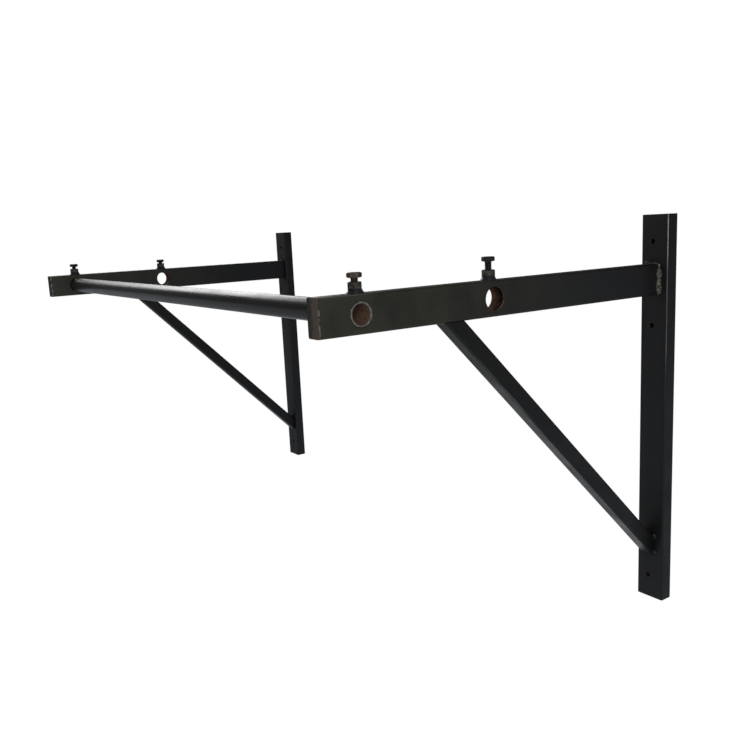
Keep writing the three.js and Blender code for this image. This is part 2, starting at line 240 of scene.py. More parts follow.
def brushed_enamel(name, dark_tone, lit_tone, tilt, light_from, light_to):
    """Black synthetic enamel, brushed on thinly. It gives the eye a satin black with brush marks along the
    tube, cloudy patches where the coat is thin, and bright steel where a corner is rubbed through. Tilt turns
    the brush marks about X from upright. Between two places along Y the colour turns from the dark tone to
    the lighter one. That change is painted light, standing for the front lamp falling on the front ends.
    Bristle marks are about 0.4 mm apart on the real coat, and are drawn 1.4 mm apart so that they show."""
    material, tree = new_material(name)
    place = add_node(tree, "ShaderNodeTexCoord").outputs["Object"]
    tube = add_node(tree, "ShaderNodeMapping", {"Rotation": (tilt, 0, 0)}, {"Vector": place}).outputs[0]
    drawn_out = add_node(tree, "ShaderNodeMapping", {"Scale": (1, 1, 0.035)}, {"Vector": tube}).outputs[0]
    clouds = add_node(tree, "ShaderNodeTexNoise",
                      {"Scale": per_mm(55), "Detail": 5, "Roughness": 0.6}, {"Vector": place}).outputs[0]
    speckle = add_node(tree, "ShaderNodeTexNoise",
                       {"Scale": per_mm(3.2), "Detail": 4, "Roughness": 0.7}, {"Vector": place}).outputs[0]
    brush = add_node(tree, "ShaderNodeTexNoise",
                     {"Scale": per_mm(1.4), "Detail": 2}, {"Vector": drawn_out}).outputs[0]
    # Painted light: along Y the enamel is painted lighter towards the front, where the front lamp falls, and
    # the thin coat's cloudy patches break it up.
    along = add_node(tree, "ShaderNodeSeparateXYZ", links={0: place}).outputs["Y"]
    front_light = add_node(tree, "ShaderNodeMapRange",
                    {"From Min": light_from, "From Max": light_to}, {"Value": along}).outputs[0]
    patchy = add_node(tree, "ShaderNodeMapRange",
                      {"From Min": 0.35, "From Max": 0.65, "To Min": 0.6, "To Max": 1.25},
                      {"Value": clouds}).outputs[0]
    lit_and_thin_share = add_node(tree, "ShaderNodeMath", {"operation": "MULTIPLY", "use_clamp": True},
                           {0: front_light, 1: patchy}).outputs[0]
    tone = add_node(tree, "ShaderNodeMix",
                    {"data_type": "RGBA", MIX_A: linear(dark_tone), MIX_B: linear(lit_tone)},
                    {"Factor": lit_and_thin_share}).outputs[MIX_COLOUR]
    dust = add_node(tree, "ShaderNodeMapRange",
                    {"From Min": 0.52, "From Max": 0.75, "To Max": 0.35}, {"Value": speckle}).outputs[0]
    dusty = add_node(tree, "ShaderNodeMix",
                     {"data_type": "RGBA", MIX_B: linear(ENAMEL_DUST)},
                     {"Factor": dust, MIX_A: tone}).outputs[MIX_COLOUR]
    rubbed = add_node(tree, "ShaderNodeAttribute", {"attribute_name": "wear"}).outputs["Fac"]
    chips = add_node(tree, "ShaderNodeTexNoise",
                     {"Scale": per_mm(7), "Detail": 6, "Roughness": 0.65}, {"Vector": drawn_out}).outputs[0]
    thin = add_node(tree, "ShaderNodeMath", {"operation": "MULTIPLY"}, {0: rubbed, 1: chips}).outputs[0]
    bare = add_node(tree, "ShaderNodeMapRange",
                    {"From Min": 0.33, "From Max": 0.43}, {"Value": thin}).outputs[0]
    colour = add_node(tree, "ShaderNodeMix",
                      {"data_type": "RGBA", MIX_B: linear(RUBBED_STEEL)},
                      {"Factor": bare, MIX_A: dusty}).outputs[MIX_COLOUR]
    metallic = add_node(tree, "ShaderNodeMath", {"operation": "MULTIPLY", 1: 0.7}, {0: bare}).outputs[0]
    roughness = add_node(tree, "ShaderNodeMapRange",
                         {"From Min": 0.3, "From Max": 0.7, "To Min": 0.4, "To Max": 0.6},
                         {"Value": clouds}).outputs[0]
    relief = add_node(tree, "ShaderNodeMath", {"operation": "ADD"}, {0: brush, 1: speckle}).outputs[0]
    bump = add_node(tree, "ShaderNodeBump",
                    {"Strength": 0.35, "Distance": 0.12 * MM}, {"Height": relief}).outputs[0]
    surface = add_node(tree, "ShaderNodeBsdfPrincipled", {"IOR": 1.5},
                       {"Base Color": colour, "Metallic": metallic, "Roughness": roughness,
                        "Normal": bump})
    add_node(tree, "ShaderNodeOutputMaterial", links={"Surface": surface.outputs[0]})
    return material


def rusted_steel(name, scale_colour, rust, share):
    """The unpainted inside of a tube: blue-brown mill scale with a bloom of orange-brown rust. It gives the
    eye a dull brown, blotched at 12 mm and grainy at 1 mm. Share is how much of it has rusted."""
    material, tree = new_material(name)
    place = add_node(tree, "ShaderNodeTexCoord").outputs["Object"]
    blotches = add_node(tree, "ShaderNodeTexNoise",
                        {"Scale": per_mm(12), "Detail": 6, "Roughness": 0.65}, {"Vector": place}).outputs[0]
    grain = add_node(tree, "ShaderNodeTexNoise",
                     {"Scale": per_mm(1.1), "Detail": 3}, {"Vector": place}).outputs[0]
    rusted = add_node(tree, "ShaderNodeMapRange",
                      {"From Min": 0.62 - share / 2, "From Max": 0.72 - share / 2},
                      {"Value": blotches}).outputs[0]
    colour = add_node(tree, "ShaderNodeMix",
                      {"data_type": "RGBA", MIX_A: linear(scale_colour), MIX_B: linear(rust)},
                      {"Factor": rusted}).outputs[MIX_COLOUR]
    bump = add_node(tree, "ShaderNodeBump",
                    {"Strength": 0.6, "Distance": 0.15 * MM}, {"Height": grain}).outputs[0]
    surface = add_node(tree, "ShaderNodeBsdfPrincipled", {"Roughness": 0.8, "Metallic": 0.15},
                       {"Base Color": colour, "Normal": bump})
    add_node(tree, "ShaderNodeOutputMaterial", links={"Surface": surface.outputs[0]})
    return material


def cut_steel(name, bright, dulled, share):
    """Mild steel where it was sawn, drilled or filed, half covered by the enamel that ran over the edge. It
    gives the eye a bright, scratched grey that is broken by dull patches. Share is how much is dulled. File
    marks are finer than 0.5 mm, and are drawn at that so that they show."""
    material, tree = new_material(name)
    place = add_node(tree, "ShaderNodeTexCoord").outputs["Object"]
    patches = add_node(tree, "ShaderNodeTexNoise",
                       {"Scale": per_mm(6), "Detail": 5, "Roughness": 0.6}, {"Vector": place}).outputs[0]
    scratches = add_node(tree, "ShaderNodeTexNoise",
                         {"Scale": per_mm(0.5), "Detail": 2}, {"Vector": place}).outputs[0]
    covered = add_node(tree, "ShaderNodeMapRange",
                       {"From Min": 0.66 - share / 2, "From Max": 0.76 - share / 2},
                       {"Value": patches}).outputs[0]
    colour = add_node(tree, "ShaderNodeMix",
                      {"data_type": "RGBA", MIX_A: linear(bright), MIX_B: linear(dulled)},
                      {"Factor": covered}).outputs[MIX_COLOUR]
    metallic = add_node(tree, "ShaderNodeMapRange",
                        {"To Min": 0.85, "To Max": 0.1}, {"Value": covered}).outputs[0]
    bump = add_node(tree, "ShaderNodeBump",
                    {"Strength": 0.4, "Distance": 0.08 * MM}, {"Height": scratches}).outputs[0]
    surface = add_node(tree, "ShaderNodeBsdfPrincipled", {"Roughness": 0.42},
                       {"Base Color": colour, "Metallic": metallic, "Normal": bump})
    add_node(tree, "ShaderNodeOutputMaterial", links={"Surface": surface.outputs[0]})
    return material


def node_box(side, name):
    """A bracket's CAD piece as (lowest corner, highest corner), in numpy arrays."""
    return [np.array(corner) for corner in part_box(f"{side}_{name}")]


def finished(piece, body, slot, *nodes):
    """Ties a piece to the body that it moves with, and hides the CAD nodes that it stands for. The slot is
    not used.
    """
    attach(piece, body)
    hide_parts(*nodes)


rail_enamel = brushed_enamel("brushed_black_enamel_rails", "#121214", "#181817",
                             tilt=0, light_from=-0.2, light_to=0.1)
edge_enamel = cut_steel("enamelled_sawn_steel", "#5c5b57", "#1a1a1b", share=0.75)
tube_inside = rusted_steel("rusted_tube_inside", "#4d3c31", "#74503e", share=0.35)

for side, outboard in OUTBOARD.items():
    low, high = node_box(side, "wall_rail")
    arm_low, arm_high = node_box(side, "arm")
    width, depth, _ = high - low
    middle = (low + high) / 2
    rings = tube_rings(width, depth, low[2], high[2])
    rings = placed(rings, (middle[0], middle[1], 0), (outboard, 0, 0), (0, -1, 0), (0, 0, 1))
    wear = corner_wear((1, 0.35, 0.2, 0.3), at_end=0.88, at_start=0.3)
    rail = skin(f"{side}_rail_tube", [rings], [rail_enamel, edge_enamel, tube_inside], tube_bands(), wear)
    arm_middle = (arm_low[0] + arm_high[0]) / 2
    heights = [high[2] - FIXING_HOLE_TOP, arm_low[2] - FIXING_HOLE_MIDDLE, low[2] + FIXING_HOLE_FOOT]
    drilled(rail, [
        hole_cutter((arm_middle, 0, height), (0, 1, 0), FIXING_HOLE / 2, low[1], high[1], edge_enamel)
        for height in heights
    ])
    finished(rail, "brackets", "black_paint", f"{side}_wall_rail")

# Arms -----------------------------------------------------------------------------------------------
# Each arm is the same tube stood on edge and welded square to the front of its rail. It is drilled right
# across for the bar in two places, and its top wall is drilled under each clamp nut.

BAR_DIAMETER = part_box("pull_up_bar")[1][2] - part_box("pull_up_bar")[0][2]
SOCKET_CLEARANCE = 0.5 * MM  # between the bar and its socket, all round
BOLT_DIAMETER = 10 * MM
BOLT_HOLE_CLEARANCE = 0.75 * MM  # between the bolt and its hole in the arm, all round
PLACES = ("front", "rear")
SOCKET_STEPS = 96  # points round each socket

# The second, lighter olive colour is painted light. It is laid on towards the arm's front end, where the
# front lamp falls, and the first colour stays at the wall end.
arm_enamel = brushed_enamel("brushed_black_enamel_arms", "#161618", "#363629",
                            tilt=math.pi / 2, light_from=-0.15, light_to=-0.5)
socket_steel = cut_steel("drilled_socket_steel", "#5f5b53", "#3a2f28", share=0.6)

for side, outboard in OUTBOARD.items():
    low, high = node_box(side, "arm")
    rail_front = node_box(side, "wall_rail")[0][1]
    plate_back = node_box(side, "arm_end_plate")[1][1]
    width, _, height = high - low
    middle = (low + high) / 2
    rings = tube_rings(width, height, -rail_front, -plate_back)
    rings = placed(rings, (middle[0], 0, middle[2]), (outboard, 0, 0), (0, 0, 1), (0, -1, 0))
    wear = corner_wear((0.5, 0.4, 0.3, 0.4), at_end=1.5, at_start=0.8)
    arm = skin(f"{side}_arm_tube", [rings], [arm_enamel, edge_enamel, tube_inside], tube_bands(), wear)
    cutters = []
    for place in PLACES:
        nut_low, nut_high = node_box(side, f"{place}_nut")
        y = (nut_low[1] + nut_high[1]) / 2
        socket = BAR_DIAMETER / 2 + SOCKET_CLEARANCE
        bolt_hole = BOLT_DIAMETER / 2 + BOLT_HOLE_CLEARANCE
        cutters.append(hole_cutter((0, y, middle[2]), (1, 0, 0), socket, low[0], high[0], socket_steel,
                                   SOCKET_STEPS))
        cutters.append(hole_cutter((middle[0], y, 0), (0, 0, 1), bolt_hole, high[2] - TUBE_WALL, high[2],
                                   edge_enamel))
    drilled(arm, cutters)
    finished(arm, "brackets", "black_paint", f"{side}_arm")

# Arm end plates -------------------------------------------------------------------------------------
# A 2.5 mm steel plate is welded over the front end of each arm and ground flush. The right one shows its
# red-brown primer where the black has worn off, and both show bright ground steel round the rim.


PRIMER = ("#5a4d42", "#6b5c4f")  # smooth and chalked
LEFT_ENAMEL = "#201f1c"
WEAR_FROM = 5.5 * MM  # in from the plate's outboard edge: the enamel starts to thicken here
WEAR_TO = 25.5 * MM  # and is whole here


def worn_primer(name, black_share, outboard, edge):
    """Red-brown oxide primer with black enamel left on it in patches. It gives the eye a chalky dark brown,
    blacker towards the inboard edge. Black share is how much enamel is left, and edge is the outboard edge's
    place along X."""
    material, tree = new_material(name)
    place = add_node(tree, "ShaderNodeTexCoord").outputs["Object"]
    patches = add_node(tree, "ShaderNodeTexNoise",
                       {"Scale": per_mm(14), "Detail": 6, "Roughness": 0.62}, {"Vector": place}).outputs[0]
    chalk = add_node(tree, "ShaderNodeTexNoise",
                     {"Scale": per_mm(1.3), "Detail": 4}, {"Vector": place}).outputs[0]
    across = add_node(tree, "ShaderNodeSeparateXYZ", links={0: place}).outputs["X"]
    inboard = add_node(tree, "ShaderNodeMapRange",
                       {"From Min": edge - outboard * WEAR_FROM, "From Max": edge - outboard * WEAR_TO,
                        "To Min": -0.22, "To Max": 0.3}, {"Value": across}).outputs[0]
    leaning = add_node(tree, "ShaderNodeMath", {"operation": "ADD"}, {0: patches, 1: inboard}).outputs[0]
    black = add_node(tree, "ShaderNodeMapRange",
                     {"From Min": 0.6 - black_share / 2, "From Max": 0.74 - black_share / 2},
                     {"Value": leaning}).outputs[0]
    brown = add_node(tree, "ShaderNodeMix",
                     {"data_type": "RGBA", MIX_A: linear(PRIMER[0]), MIX_B: linear(PRIMER[1])},
                     {"Factor": chalk}).outputs[MIX_COLOUR]
    colour = add_node(tree, "ShaderNodeMix",
                      {"data_type": "RGBA", MIX_B: linear(LEFT_ENAMEL)},
                      {"Factor": black, MIX_A: brown}).outputs[MIX_COLOUR]
    roughness = add_node(tree, "ShaderNodeMapRange",
                         {"To Min": 0.78, "To Max": 0.5}, {"Value": black}).outputs[0]
    bump = add_node(tree, "ShaderNodeBump",
                    {"Strength": 0.4, "Distance": 0.1 * MM}, {"Height": chalk}).outputs[0]
    surface = add_node(tree, "ShaderNodeBsdfPrincipled", {"IOR": 1.5},
                       {"Base Color": colour, "Roughness": roughness, "Normal": bump})
    add_node(tree, "ShaderNodeOutputMaterial", links={"Surface": surface.outputs[0]})
    return material


def plate_rings(width, height, thickness):
    """Rings of a flat plate from its back to its front: the outline, then round the front lip, whose inset is
    lip * (1 - cos) and whose distance from the front is lip * (1 - sin)."""
    turn = np.linspace(0, math.pi / 2, LIP_STEPS)
    insets = np.concatenate([[0], SAWN_LIP * (1 - np.cos(turn))])
    distances = np.concatenate([[0], thickness - SAWN_LIP * (1 - np.sin(turn))])
    outlines = np.stack([tube_outline(width, height, inset) for inset in insets])
    heights = np.broadcast_to(distances[:, None, None], outlines.shape[:2] + (1,))
    return np.concatenate([outlines, heights], 2)


LEFT_BLACK = {"left": 1.0, "right": 0.25}  # share of each plate's enamel that is left
ground_rim = cut_steel("ground_plate_rim", "#a5a096", "#3a332c", share=0.45)

for side, outboard in OUTBOARD.items():
    low, high = node_box(side, "arm_end_plate")
    width, thickness, height = high - low
    middle = (low + high) / 2
    edge = middle[0] + outboard * width / 2
    face = worn_primer(f"worn_primer_{side}", LEFT_BLACK[side], outboard, edge)
    rings = placed(plate_rings(width, height, thickness), (middle[0], high[1], middle[2]),
                   (outboard, 0, 0), (0, 0, 1), (0, -1, 0))
    plate = skin(f"{side}_end_plate", [rings], [ground_rim, face], [0] + [1] * (LIP_STEPS - 1), closed=False)
    finished(plate, "brackets", "primer", f"{side}_arm_end_plate")

# Braces ---------------------------------------------------------------------------------------------
# A 25 mm square tube props each arm at 45 degrees. Both its ends are mitred, flat to the arm's underside
# and to the front of the rail, and it is brushed with the same enamel.

# The second, lighter colour is painted light. It is laid on towards the brace's head at the front, where the
# front lamp falls.
brace_enamel = brushed_enamel("brushed_black_enamel_braces", "#131315", "#1c1c1a",
                              tilt=-math.pi / 4, light_from=-0.1, light_to=-0.5)

for side, outboard in OUTBOARD.items():
    low, high = node_box(side, "brace")
    rail_front = node_box(side, "wall_rail")[0][1]
    arm_underside = node_box(side, "arm")[0][2]
    side_length = high[0] - low[0]
    foot = low[2]
    reach = math.sqrt(2) * (arm_underside - foot)
    slant = math.sqrt(0.5)
    rings = tube_rings(side_length, side_length, side_length / 2, reach - side_length / 2,
                       start_slope=1, end_slope=-1)
    centre_start = np.array([(low[0] + high[0]) / 2, rail_front, foot])
    centre_start += side_length / 2 * slant * np.array([0, 1, 1])
    rings = placed(rings, centre_start, (outboard, 0, 0), (0, slant, slant), (0, -slant, slant))
    wear = corner_wear((0.3, 0.2, 0.6, 0.9), at_end=0.7, at_start=0.7)
    brace = skin(f"{side}_brace_tube", [rings], [brace_enamel, edge_enamel, tube_inside], tube_bands(), wear)
    finished(brace, "brackets", "black_paint", f"{side}_brace")

# Welds ----------------------------------------------------------------------------------------------
# The arm is welded to the rail by a bead down its outboard side and a thin one across its top, the brace by
# two tacks at its foot and a bead at its head. They were left unpainted, except the one at the head.

ARM_SIDE_LEG = 5 * MM
ARM_SIDE_OVERRUN = 1 * MM  # how far the side bead runs on past the arm's top
ARM_TOP_LEG = 2.6 * MM
ARM_TOP_SHORT = 4 * MM  # how much shorter the top bead is than the arm is wide
CORNER_TACK_LEG = 4.4 * MM
CORNER_TACK_LENGTH = 9 * MM
CORNER_TACK_INSET = 4.4 * MM  # from the arm's inboard face to the tack's middle
FOOT_TACK_LEG = 3.6 * MM
FOOT_TACK_LENGTH = 7.5 * MM
HEAD_LEG = 3.4 * MM
HEAD_SHORT = 3 * MM  # how much shorter the head bead is than the arm is wide
RIPPLE = 2.3 * MM  # spacing of the crescents that the electrode leaves
BURIED = 0.3 * MM  # how far a bead sinks into the steel that it joins


def bead_rings(leg, length, seed, unevenness=0.16):
    """Rings of a fillet weld along z, in the corner where the x and y axes meet. A ring is the curve
    (cos ** 1.3, sin ** 1.3) times a size, closed through the buried corner. The size rises and falls by a
    tilted wave for each ripple, which bows forward in mid bead, and by a slow wave that the seed sets, and it
    drops to nothing at the two ends as (1 - |v| ** 8) ** 0.5."""
    dice = np.random.default_rng(seed)
    run = np.linspace(-1, 1, max(24, int(length / RIPPLE * 8)))[:, None]
    turn = np.linspace(0, math.pi / 2, 15)[None, :]
    phase = (run * length / 2 / RIPPLE - 0.45 * np.sin(2 * turn)) % 1
    ripple = 1 + 0.13 * (1 - phase) * np.sin(2 * turn)
    slow = sum(dice.normal() * np.sin(k * 2.1 * run + dice.uniform(0, math.tau)) for k in range(1, 6)) / 2.2
    taper = np.sqrt(np.clip(1 - np.abs(run) ** 8, 0.01, 1))
    size = leg * (1 + unevenness * slow) * ripple * taper
    first = np.concatenate([size * np.cos(turn) ** 1.3, np.full((len(run), 1), -BURIED)], 1)
    second = np.concatenate([size * np.sin(turn) ** 1.3, np.full((len(run), 1), -BURIED)], 1)
    first[:, turn.size - 1] = -BURIED
    second[:, 0] = -BURIED
    return np.stack([first, second, np.broadcast_to(run * length / 2, first.shape)], 2)


def bare_weld(name, clean, burnt, share):
    """A wire-brushed arc weld. It gives the eye pale grey ripples, with brown and blue-black heat colour and
    slag left between them. Share is how much of it is burnt."""
    material, tree = new_material(name)
    place = add_node(tree, "ShaderNodeTexCoord").outputs["Object"]
    patches = add_node(tree, "ShaderNodeTexNoise",
                       {"Scale": per_mm(4), "Detail": 5, "Roughness": 0.7}, {"Vector": place}).outputs[0]
    grit = add_node(tree, "ShaderNodeTexNoise",
                    {"Scale": per_mm(0.6), "Detail": 3}, {"Vector": place}).outputs[0]
    slag = add_node(tree, "ShaderNodeMapRange",
                    {"From Min": 0.6 - share / 2, "From Max": 0.78 - share / 2},
                    {"Value": patches}).outputs[0]
    colour = add_node(tree, "ShaderNodeMix",
                      {"data_type": "RGBA", MIX_A: linear(clean), MIX_B: linear(burnt)},
                      {"Factor": slag}).outputs[MIX_COLOUR]
    metallic = add_node(tree, "ShaderNodeMapRange",
                        {"To Min": 0.55, "To Max": 0.1}, {"Value": slag}).outputs[0]
    bump = add_node(tree, "ShaderNodeBump",
                    {"Strength": 0.6, "Distance": 0.15 * MM}, {"Height": grit}).outputs[0]
    surface = add_node(tree, "ShaderNodeBsdfPrincipled", {"Roughness": 0.55},
                       {"Base Color": colour, "Metallic": metallic, "Normal": bump})
    add_node(tree, "ShaderNodeOutputMaterial", links={"Surface": surface.outputs[0]})
    return material


weld_steel = bare_weld("wire_brushed_weld", "#8f8f83", "#2e2b27", share=0.4)
tack_steel = bare_weld("sooty_tack_weld", "#6f6f68", "#242321", share=0.55)

for side, outboard in OUTBOARD.items():
    low, high = node_box(side, "arm")
    brace_front = node_box(side, "brace")[0][1]
    rail_front = node_box(side, "wall_rail")[0][1]
    outward, forward, up = (outboard, 0, 0), (0, -1, 0), (0, 0, 1)
    down_brace = (0, 0.5, -0.5)
    outer_x = high[0] if outboard > 0 else low[0]
    inner_x = low[0] if outboard > 0 else high[0]
    arm_height, arm_width = high[2] - low[2], high[0] - low[0]
    middle = (low + high) / 2
    seed = 7 + outboard

    rings = bead_rings(ARM_SIDE_LEG, arm_height + ARM_SIDE_OVERRUN, seed)
    rings = placed(rings, (outer_x, rail_front, middle[2] + ARM_SIDE_OVERRUN / 2), outward, forward, up)
    bead = skin(f"{side}_arm_side_bead", [rings], [weld_steel], closed=False)
    finished(bead, "brackets", "bare_weld", f"{side}_arm_side_weld")

    across = bead_rings(ARM_TOP_LEG, arm_width - ARM_TOP_SHORT, seed + 10)
    across = placed(across, (middle[0], rail_front, high[2]), forward, up, outward)
    tack = bead_rings(CORNER_TACK_LEG, CORNER_TACK_LENGTH, seed + 20)
    corner = (inner_x + outboard * CORNER_TACK_INSET, rail_front, high[2])
    tack = placed(tack, corner, forward, up, outward)
    bead = skin(f"{side}_arm_top_bead", [across, tack], [tack_steel], closed=False)
    finished(bead, "brackets", "bare_weld", f"{side}_arm_top_weld")

    for name, tack_seed in (("upper", seed + 35), ("lower", seed + 30)):
        tack_low, tack_high = node_box(side, f"brace_foot_{name}_weld")
        height = (tack_low[2] + tack_high[2]) / 2
        rings = bead_rings(FOOT_TACK_LEG, FOOT_TACK_LENGTH, tack_seed)
        rings = placed(rings, (outer_x, rail_front, height), outward, forward, up)
        tack = skin(f"{side}_brace_foot_{name}_tack", [rings], [tack_steel], closed=False)
        finished(tack, "brackets", "bare_weld", f"{side}_brace_foot_{name}_weld")

    rings = bead_rings(HEAD_LEG, arm_width - HEAD_SHORT, seed + 50)
    rings = placed(rings, (middle[0], brace_front, low[2]), forward, down_brace, outward)
    bead = skin(f"{side}_brace_head_bead", [rings], [brace_enamel], closed=False)
    finished(bead, "brackets", "black_paint", f"{side}_brace_head_weld")

# Clamp nuts -----------------------------------------------------------------------------------------
# A deep M10 hexagon nut stands over each hole in the arm's top wall, with a ring of weld round its foot. The
# weld and the lower half of the nut were painted with the arm, and the upper half is dull zinc plate.

HEX_CHAMFER = math.radians(30)
CHAMFER_CIRCLE = 0.94  # the flat circle in an end face, as a share of the flats
HEX_CORNER_SHARE = 0.985  # the nut's and the bolt head's sharp corners are knocked off at this share
THREAD_CLEARANCE = 0.25 * MM
NUT_MOUTH = 0.8 * MM
NUT_PAINT_HEIGHT = 6 * MM  # above the nut's foot
OVERPAINT = "#1b1e20"
WELD_CLIMB = {"front": 0.45, "rear": 0.2}  # how much higher the weld stands on the wall side of its nut
NUT_WELD_STEPS = 72  # points round each ring of weld
WELD_OVERLAP = 0.6 * MM  # how far the weld reaches inside the nut's faces


def hexagon(flats, steps=TURN_STEPS):
    """The radius of a hexagon at each point of a turn, with flats square to the first axis: half the flats
    over the cosine of the angle from the nearest flat's middle, with the corners knocked off."""
    turn = np.arange(steps) * math.tau / steps
    from_flat = (turn + math.pi / 6) % (math.pi / 3) - math.pi / 6
    return np.minimum(flats / 2 / np.cos(from_flat), flats / math.sqrt(3) * HEX_CORNER_SHARE)


def chamfer_rows(flats, face, way, steps=TURN_STEPS):
    """Rows from a hexagon's sides over its turned chamfer to the flat circle in an end face. The face looks
    up if way is 1 and down if it is -1. The chamfer is a cone, so a row stands behind the face by the
    tangent of 30 degrees times its distance outside the circle."""
    circle = flats / 2 * CHAMFER_CIRCLE
    edge = hexagon(flats, steps)
    radii = [circle + share * (edge - circle) for share in (1, 0.75, 0.5, 0.25, 0)]
    return [(radius, face - way * (radius - circle) * math.tan(HEX_CHAMFER)) for radius in radii]


def nut_weld_rings(flats, height, spread, side_spread, climb, seed, steps=NUT_WELD_STEPS):
    """Rings of a flared weld round a hexagon. The foot is an ellipse that the seed makes lumpy, and the
    radius draws in to the nut by (1 - t) ** 1.2 as the height rises by t. The weld's height varies round the
    nut as 1.1 + climb * sin(turn), because it was laid from the wall side, and the last ring meets the first
    inside the nut."""
    dice = np.random.default_rng(seed)
    turn = np.arange(steps) * math.tau / steps
    lumps = sum(dice.normal() * np.cos(k * turn + dice.uniform(0, math.tau)) / k for k in range(2, 7))
    along = flats / math.sqrt(3) + spread
    beside = flats / 2 + side_spread
    foot = along * beside / np.sqrt((along * np.cos(turn)) ** 2 + (beside * np.sin(turn)) ** 2)
    foot = np.minimum(foot * (1 + 0.05 * lumps), foot * 1.04)
    top = height * (1.1 + climb * np.sin(turn) + 0.08 * lumps)
    inside = hexagon(flats, steps) - WELD_OVERLAP
    rows = [(inside, -BURIED), (foot, -BURIED)]
    for t in np.linspace(0.04, 1, 9):
        crescent = 1 + 0.03 * np.sin(11 * turn + 9 * t)
        rows.append((inside + (foot - inside) * (1 - t) ** 1.2 * crescent, top * t))
    return turned_rings(rows, steps)


def zinc_plate(name, bright, stain, stain_share, paint_height=None):
    """Zinc-plated steel that has dulled and browned outdoors. It gives the eye a soft grey sheen with brown
    stains, 5 mm across, and below the paint height it is lost under black enamel."""
    material, tree = new_material(name)
    place = add_node(tree, "ShaderNodeTexCoord").outputs["Object"]
    patches = add_node(tree, "ShaderNodeTexNoise",
                       {"Scale": per_mm(5), "Detail": 5, "Roughness": 0.6}, {"Vector": place}).outputs[0]
    spangle = add_node(tree, "ShaderNodeTexNoise",
                       {"Scale": per_mm(0.7), "Detail": 3}, {"Vector": place}).outputs[0]
    stained = add_node(tree, "ShaderNodeMapRange",
                       {"From Min": 0.62 - stain_share / 2, "From Max": 0.78 - stain_share / 2},
                       {"Value": patches}).outputs[0]
    colour = add_node(tree, "ShaderNodeMix",
                      {"data_type": "RGBA", MIX_A: linear(bright), MIX_B: linear(stain)},
                      {"Factor": stained}).outputs[MIX_COLOUR]
    metallic = add_node(tree, "ShaderNodeMapRange",
                        {"To Min": 0.85, "To Max": 0.35}, {"Value": stained}).outputs[0]
    roughness = add_node(tree, "ShaderNodeMapRange",
                         {"To Min": 0.34, "To Max": 0.62}, {"Value": stained}).outputs[0]
    if paint_height is not None:
        height = add_node(tree, "ShaderNodeSeparateXYZ", links={0: place}).outputs["Z"]
        wavering = add_node(tree, "ShaderNodeMath", {"operation": "MULTIPLY_ADD", 1: 5 * MM},
                            {0: patches, 2: height}).outputs[0]
        bare = add_node(tree, "ShaderNodeMapRange",
                        {"From Min": paint_height + 2 * MM, "From Max": paint_height + 3 * MM},
                        {"Value": wavering}).outputs[0]
        colour = add_node(tree, "ShaderNodeMix",
                          {"data_type": "RGBA", MIX_A: linear(OVERPAINT)},
                          {"Factor": bare, MIX_B: colour}).outputs[MIX_COLOUR]
        metallic = add_node(tree, "ShaderNodeMath", {"operation": "MULTIPLY"},
                            {0: bare, 1: metallic}).outputs[0]
    bump = add_node(tree, "ShaderNodeBump",
                    {"Strength": 0.35, "Distance": 0.08 * MM}, {"Height": spangle}).outputs[0]
    surface = add_node(tree, "ShaderNodeBsdfPrincipled", None,
                       {"Base Color": colour, "Metallic": metallic, "Roughness": roughness,
                        "Normal": bump})
    add_node(tree, "ShaderNodeOutputMaterial", links={"Surface": surface.outputs[0]})
    return material


nut_foot = node_box("right", "front_nut")[0][2]
nut_zinc = zinc_plate("half_painted_zinc_nut", "#7d7c76", "#3b352e", stain_share=0.45,
                      paint_height=nut_foot + NUT_PAINT_HEIGHT)
# The second, lighter colour is painted light. It is laid on towards the front of the arm, so the front nut's
# weld is painted lighter than the rear one's.
weld_enamel = brushed_enamel("black_enamel_on_weld", "#1a1d1f", "#26282a",
                             tilt=0, light_from=-0.2, light_to=-0.5)

for side in OUTBOARD:
    arm_top = node_box(side, "arm")[1][2]
    for place in PLACES:
        low, high = node_box(side, f"{place}_nut")
        flats = high[0] - low[0]
        middle = (low + high) / 2
        bore = BOLT_DIAMETER / 2 + THREAD_CLEARANCE
        height = high[2] - arm_top
        rows = [(bore, 0), (hexagon(flats), 0)]
        rows += chamfer_rows(flats, height, 1)
        rows += [(bore + NUT_MOUTH, height), (bore, height - NUT_MOUTH)]
        at = (middle[0], middle[1], arm_top)
        rings = placed(turned_rings(rows), at, (1, 0, 0), (0, 1, 0), (0, 0, 1))
        nut = skin(f"{side}_{place}_hex_nut", [rings], [nut_zinc])
        finished(nut, "brackets", "zinc_steel", f"{side}_{place}_nut")

        weld_low, weld_high = node_box(side, f"{place}_nut_weld")
        spread = (weld_high[1] - weld_low[1] - (high[1] - low[1])) / 2
        side_spread = (weld_high[0] - weld_low[0] - flats) / 2
        seed = 60 + 7 * PLACES.index(place) + 3 * OUTBOARD[side]
        weld_height = weld_high[2] - weld_low[2]
        rings = nut_weld_rings(flats, weld_height, spread, side_spread, WELD_CLIMB[place], seed)
        rings = placed(rings, at, (1, 0, 0), (0, 1, 0), (0, 0, 1))
        weld = skin(f"{side}_{place}_nut_bead", [rings], [weld_enamel])
        finished(weld, "brackets", "black_paint", f"{side}_{place}_nut_weld")

# Round bar ------------------------------------------------------------------------------------------
# The grip is a length of 32 mm steel tube with a 2.6 mm wall, sprayed satin black and rubbed by hands. Its
# ends are sawn flush with the arms' outer faces, so a bare ring and the rusty bore show there.

BAR_WALL = 2.6 * MM
BAR_STEPS = 128


